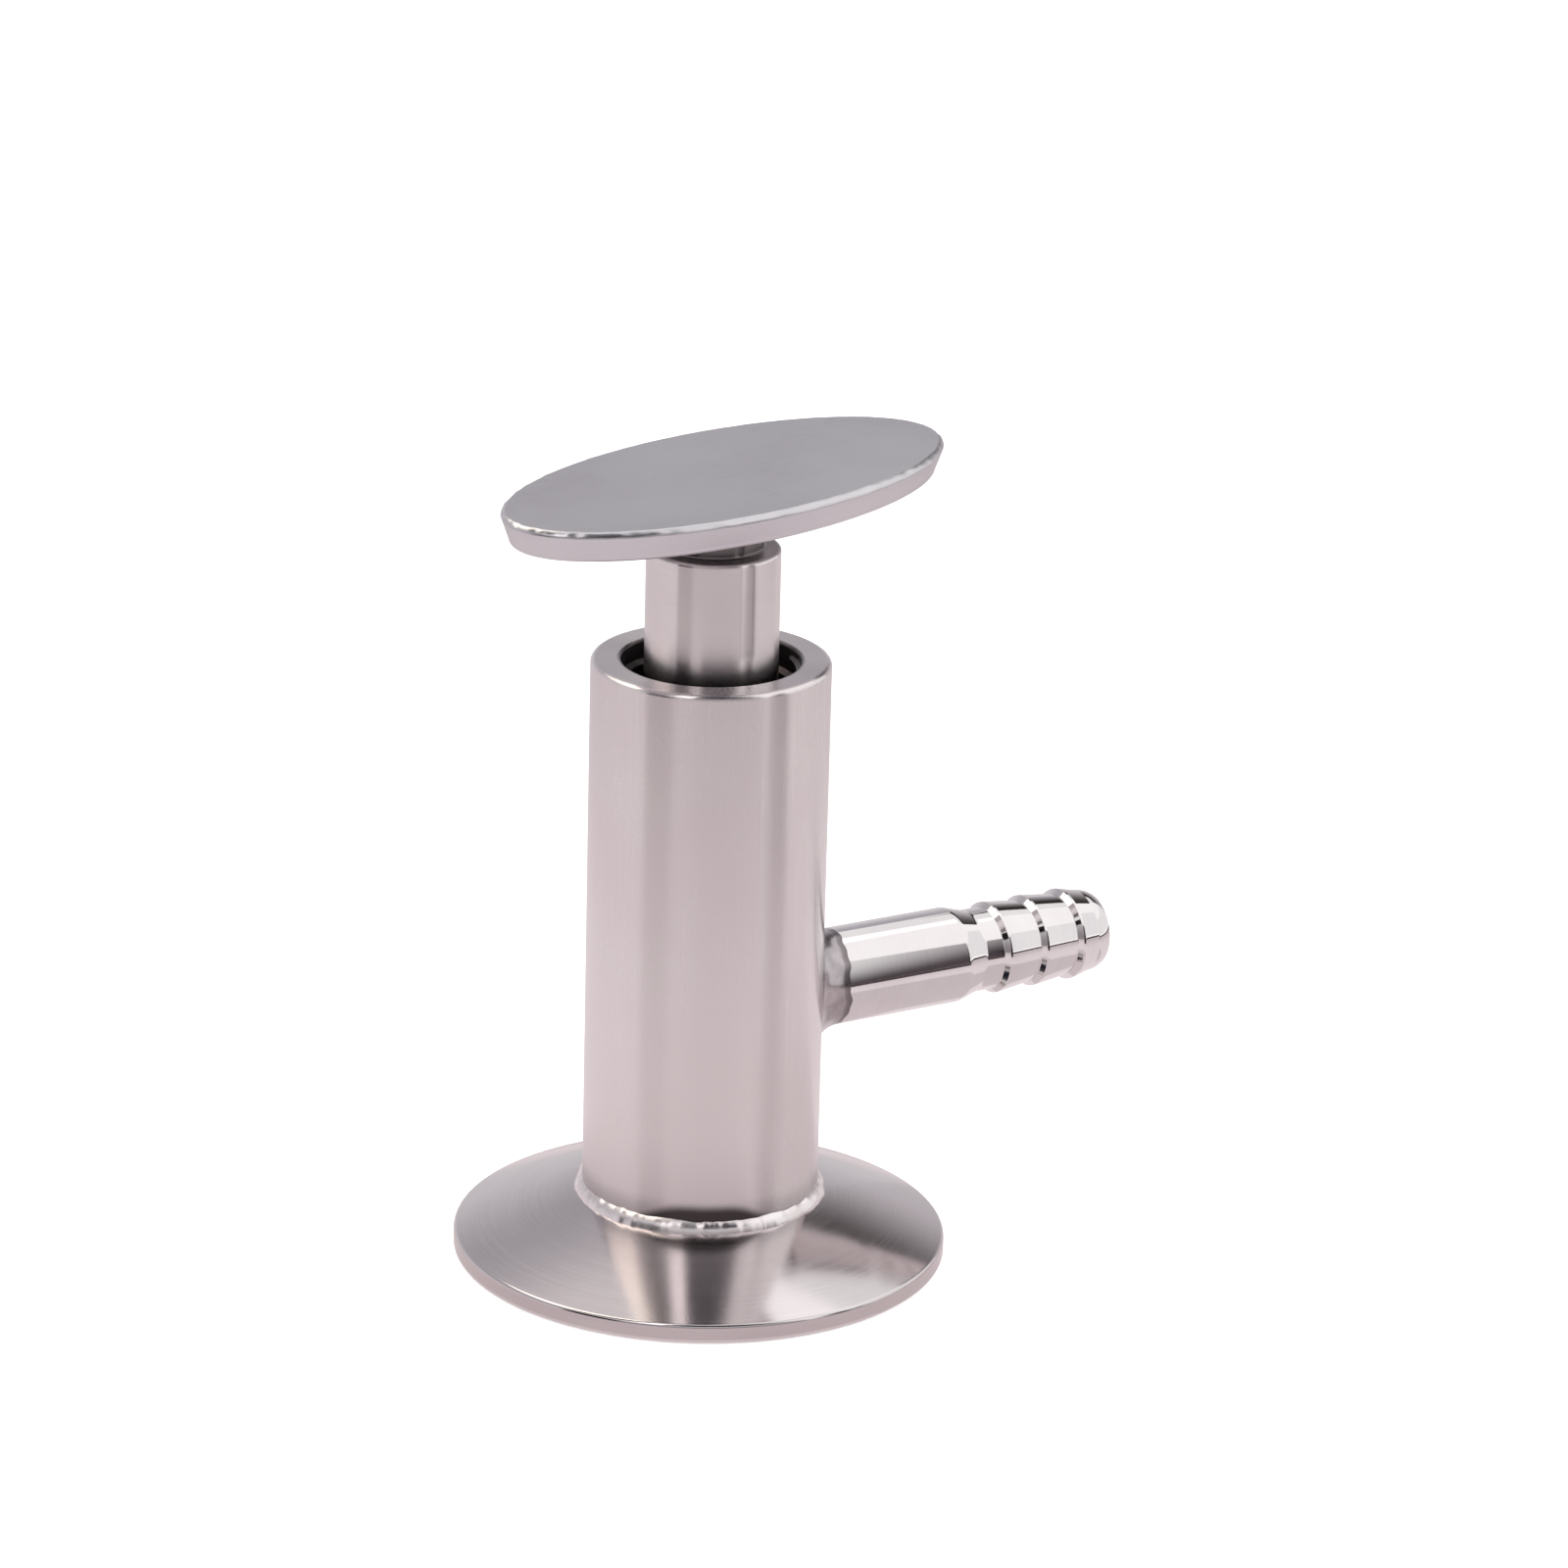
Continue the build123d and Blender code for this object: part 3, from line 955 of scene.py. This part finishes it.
def makePlug(look):
    hole = look["screwHole"]
    low, high = reach("seat_seal")
    seal = [(hole, low.z, 0), (look["tip"], low.z, 0.2 * mm)]
    seal += [(high.x, low.z + high.x - look["tip"], 0.3 * mm), (high.x, high.z, 0.2 * mm), (hole, high.z, 0)]
    piece = turned("seatSeal", seal, segments=160)
    finishPiece(piece, "whitePtfe", "plug", "white_ptfe", "seat_seal")

    low, high = reach("seal_washer")
    edge = look["washerEdge"]
    washer = [(hole, low.z, 0), (high.x, low.z, edge), (high.x, high.z, edge), (hole, high.z, 0)]
    piece = turned("sealWasher", washer, segments=128)
    finishPiece(piece, "turnedSteel", "plug", "turned_steel", "seal_washer")

    low, high = reach("plug_holder")
    disc = low.z + look["disc"]
    wireHeight = high.z - look["wireBelowTop"]
    groove = look["wire"] + look["wireRoom"]
    grooveFloor = look["wireCircle"] - groove
    holder = [(0, low.z + look["holeDepth"], 0), (hole, low.z + look["holeDepth"], 0), (hole, low.z, 0)]
    holder += [(high.x, low.z, 0.15 * mm), (high.x, disc, 0.4 * mm), (look["pin"], disc, 0.2 * mm)]
    holder += [(look["pin"], wireHeight - groove, 0.05 * mm), (grooveFloor, wireHeight - groove, 0.05 * mm)]
    holder += [(grooveFloor, wireHeight + groove, 0.05 * mm), (look["pin"], wireHeight + groove, 0.05 * mm)]
    holder += [(look["pin"], high.z, 0.3 * mm), (0, high.z, 0)]
    piece = turned("plugHolder", holder, closed=False, segments=128)
    finishPiece(piece, "turnedSteel", "plug", "turned_steel", "plug_holder")

    low, high = reach("seal_screw")
    under = reach("seal_washer")[0].z
    screw = [(0, high.z, 0), (look["screw"], high.z, 0.25 * mm), (look["screw"], under, 0.1 * mm)]
    screw += [(high.x, under, 0.1 * mm), (high.x, low.z, 0.45 * mm), (0, low.z, 0)]
    piece = turned("sealScrew", screw, closed=False, segments=96)
    # the key's corners lie further out than its flats
    corner = look["socketFlats"] / sqrt(3)
    first, last = low.z - 1 * mm, low.z + look["socketDepth"]
    key = [(0, first, 0), (corner, first, 0), (corner, last, 0), (0, last, 0)]
    drilled(piece, turned("key", key, closed=False, segments=6))
    finishPiece(piece, "turnedSteel", "plug", "turned_steel", "seal_screw", sharp=30)

    opening = radians(look["wireOpening"])
    arc = []
    for step in range(look["wireSteps"] + 1):
        turn = opening / 2 + (2 * pi - opening) * step / look["wireSteps"]
        arc.append((look["wireCircle"] * cos(turn), look["wireCircle"] * sin(turn), wireHeight))
    wireRing = swept("swivelRing", arc, False, {"Radius": look["wire"], "Corners": 14}, "springSteel")
    finishPiece(wireRing, "springSteel", "plug", "spring_steel", "swivel_ring")


makePlug(plugLook)
print("rings and plug made")


# Studio: pale floor, white surroundings, soft lamps, and boards and paper that only the metal shows
studio = {
    "floorSize": 4.0,
    "floor": linear(244, 242, 242),
    "floorRoughness": 0.9,
    "skyForLight": 0.75,
    "floorGlow": 0.42,
    "aim": (0, 0, 0.04),
    "lamps": (
        {"name": "leftBox", "place": (-0.66, -0.20, 0.90), "size": 0.7, "power": 2.6},
        {"name": "rightBox", "place": (0.95, -0.45, 0.62), "size": 0.7, "power": 2.6},
        {"name": "topBox", "place": (0.05, 0.15, 1.2), "size": 0.9, "power": 3.2},
    ),
}

# Bearings are degrees from -Y towards +X. Each board stands round the valve, in one colour or fading from its
# low to its high colour. Values past 255 are brighter than white: those boards stand in for the lamps.
boards = (
    {"name": "leftBoard", "from": -90, "to": -64, "radius": 0.30, "low": 0.0, "high": 0.20,
     "fade": (0.0, 0.04), "colours": (linear(112, 100, 97), linear(30, 25, 27))},
    {"name": "frontBoard", "from": -64, "to": 20, "radius": 0.30, "low": 0.0, "high": 0.30,
     "fade": (0.02, 0.28), "colours": (linear(150, 144, 147), linear(240, 240, 240))},
    {"name": "rightBoard", "from": 20, "to": 42, "radius": 0.30, "low": 0.0, "high": 0.60,
     "fade": (0.05, 0.29), "lean": 3.0, "leanFrom": 0.172,
     "colours": (linear(84, 76, 80), linear(280, 279, 279))},
    {"name": "tableEdge", "from": 42, "to": 100, "radius": 0.30, "low": 0.0, "high": 0.014,
     "colours": (linear(70, 62, 66),)},
    {"name": "sideBoard", "from": 105, "to": 138, "radius": 0.36, "low": 0.0, "high": 0.30,
     "fade": (0.06, 0.27), "colours": (linear(207, 203, 207), linear(50, 44, 42))},
    {"name": "backBoard", "from": 138, "to": 285, "radius": 0.42, "low": 0.0, "high": 0.30,
     "fade": (0.04, 0.26), "colours": (linear(222, 220, 224), linear(184, 182, 187))},
    {"name": "upperBackBoard", "from": 146, "to": 285, "radius": 0.42, "low": 0.30, "high": 0.85,
     "fade": (0.26, 0.62), "colours": (linear(184, 182, 187), linear(238, 234, 235))},
    {"name": "hoodBoard", "from": -47, "to": 15, "radius": 0.16, "low": 0.13, "high": 0.90,
     "fade": (0.16, 0.60), "colours": (linear(18, 20, 38), linear(14, 14, 30))},
    {"name": "postBoard", "from": 40.5, "to": 45, "radius": 0.15, "low": 0.014, "high": 0.044,
     "colours": (linear(40, 32, 34),)},
    {"name": "lowBoard", "from": 18, "to": 50, "radius": 0.165, "low": 0.0, "high": 0.013,
     "colours": (linear(84, 74, 76),)},
    {"name": "darkHood", "from": -112, "to": -67, "radius": 0.16, "low": 0.20, "high": 0.90,
     "colours": (linear(24, 18, 18),)},
    {"name": "creamGlow", "from": -165, "to": -111, "radius": 0.17, "low": 0.16, "high": 0.90,
     "colours": (linear(366, 356, 340),)},
    {"name": "whiteGlow", "from": -68, "to": -47.5, "radius": 0.17, "low": 0.17, "high": 0.90,
     "colours": (linear(374, 369, 369),)},
    {"name": "rightGlow", "from": 42, "to": 104, "radius": 0.30, "low": 0.20, "high": 0.55,
     "colours": (linear(276, 275, 275),)},
    {"name": "sideGlow", "from": 100, "to": 138, "radius": 0.36, "low": 0.48, "high": 0.95,
     "colours": (linear(296, 294, 294),)},
)
# The paper is lighter round the valve than further out, and shaded right at its foot and under the hose tail
papers = (
    {"name": "paper", "centre": (0, 0), "radius": 0.60, "lift": 0.2 * mm, "fade": (0.09, 0.21),
     "colours": (linear(243, 233, 235), linear(217, 207, 209))},
    {"name": "closePaper", "centre": (0, 0), "radius": 0.035, "lift": 0.5 * mm,
     "colours": (linear(221, 209, 211),)},
    {"name": "shadedPaper", "centre": (0.040, -0.027), "radius": 0.033, "lift": 0.4 * mm,
     "colours": (linear(219, 208, 210),)},
)


def glowing(look, outwards=False):
    # plain glow that fades from the first colour to the last, upwards or outwards from the valve's axis
    material, wire, shader = newMaterial(look["name"])
    shader.inputs["Base Color"].default_value = (0, 0, 0, 1)
    shader.inputs["Specular IOR Level"].default_value = 0
    shader.inputs["Emission Strength"].default_value = 1
    parts = wire.make("ShaderNodeSeparateXYZ", None, {0: wire.make("ShaderNodeTexCoord", output=3)})
    x, y, z = parts.out("X"), parts.out("Y"), parts.out("Z")
    if outwards:
        along = (x * x + y * y).root()
    else:
        # a leaning board turns bright lower down towards -X
        along = z - (x - look.get("leanFrom", 0.0)) * look.get("lean", 0.0)
    low, high = look.get("fade", (0.0, 1.0))
    colours = look["colours"]
    glow = wire.blend(along.ramp(low, high), colours[0], colours[-1])
    wire.tree.links.new(glow.socket, shader.inputs["Emission Color"])
    return material


def onlyReflected(piece):
    # seen in the metal and nowhere else, and it throws no shadow
    piece.visible_camera = False
    piece.visible_diffuse = False
    piece.visible_shadow = False


def makeBoard(look):
    steps = 24
    points, faces = [], []
    for step in range(steps + 1):
        bearing = radians(look["from"] + (look["to"] - look["from"]) * step / steps)
        x, y = look["radius"] * sin(bearing), -look["radius"] * cos(bearing)
        points += [(x, y, look["low"]), (x, y, look["high"])]
    for step in range(steps):
        first = 2 * step
        faces.append((first, first + 1, first + 3, first + 2))
    data = bpy.data.meshes.new(look["name"])
    data.from_pydata(points, [], faces)
    data.materials.append(glowing(look))
    board = bpy.data.objects.new(look["name"], data)
    bpy.context.scene.collection.objects.link(board)
    onlyReflected(board)


def makePaper(look):
    sheet = skinned(look["name"], [circle(look["radius"], look["lift"], 96), [(0, 0, look["lift"])]], False)
    sheet.data.transform(Matrix.Translation((*look["centre"], 0)))
    sheet.data.materials.append(glowing(look, outwards=True))
    onlyReflected(sheet)


def seenRays(wire):
    # 1 for what is looked at, straight or in the metal, and 0 for what only lights a surface
    rays = wire.make("ShaderNodeLightPath")
    seen = rays.out("Is Camera Ray") + rays.out("Is Glossy Ray") + rays.out("Is Transmission Ray")
    return seen.clamped()


def makeStudio(look):
    scene = bpy.context.scene
    world = bpy.data.worlds.new("studio")
    scene.world = world
    world.use_nodes = True
    wire = Wire(world.node_tree)
    background = world.node_tree.nodes["Background"]
    level = look["skyForLight"] + seenRays(wire) * (1 - look["skyForLight"])
    world.node_tree.links.new(level.socket, background.inputs["Strength"])
    background.inputs["Color"].default_value = (1, 1, 1, 1)

    half = look["floorSize"] / 2
    corners = [(-half, -half, 0), (half, -half, 0), (half, half, 0), (-half, half, 0)]
    data = bpy.data.meshes.new("floor")
    data.from_pydata(corners, [], [(0, 1, 2, 3)])
    floor = bpy.data.objects.new("floor", data)
    scene.collection.objects.link(floor)
    material, wire, shader = newMaterial("paleFloor")
    shader.inputs["Base Color"].default_value = look["floor"]
    shader.inputs["Roughness"].default_value = look["floorRoughness"]
    shader.inputs["Specular IOR Level"].default_value = 0.1
    shader.inputs["Emission Strength"].default_value = 1
    level = look["floorGlow"]
    glow = wire.blend(seenRays(wire), (0, 0, 0, 1), (level, level, level, 1))
    wire.tree.links.new(glow.socket, shader.inputs["Emission Color"])
    data.materials.append(material)

    for lamp in look["lamps"]:
        light = bpy.data.lights.new(lamp["name"], "AREA")
        light.shape = "SQUARE"
        light.size = lamp["size"]
        light.energy = lamp["power"]
        holder = bpy.data.objects.new(lamp["name"], light)
        holder.location = lamp["place"]
        toValve = Vector(look["aim"]) - Vector(lamp["place"])
        holder.rotation_euler = toValve.to_track_quat("-Z", "Y").to_euler()
        scene.collection.objects.link(holder)
        # the metal shows the boards instead
        holder.visible_glossy = False


makeStudio(studio)
for board in boards:
    makeBoard(board)
for paper in papers:
    makePaper(paper)
print("studio made")
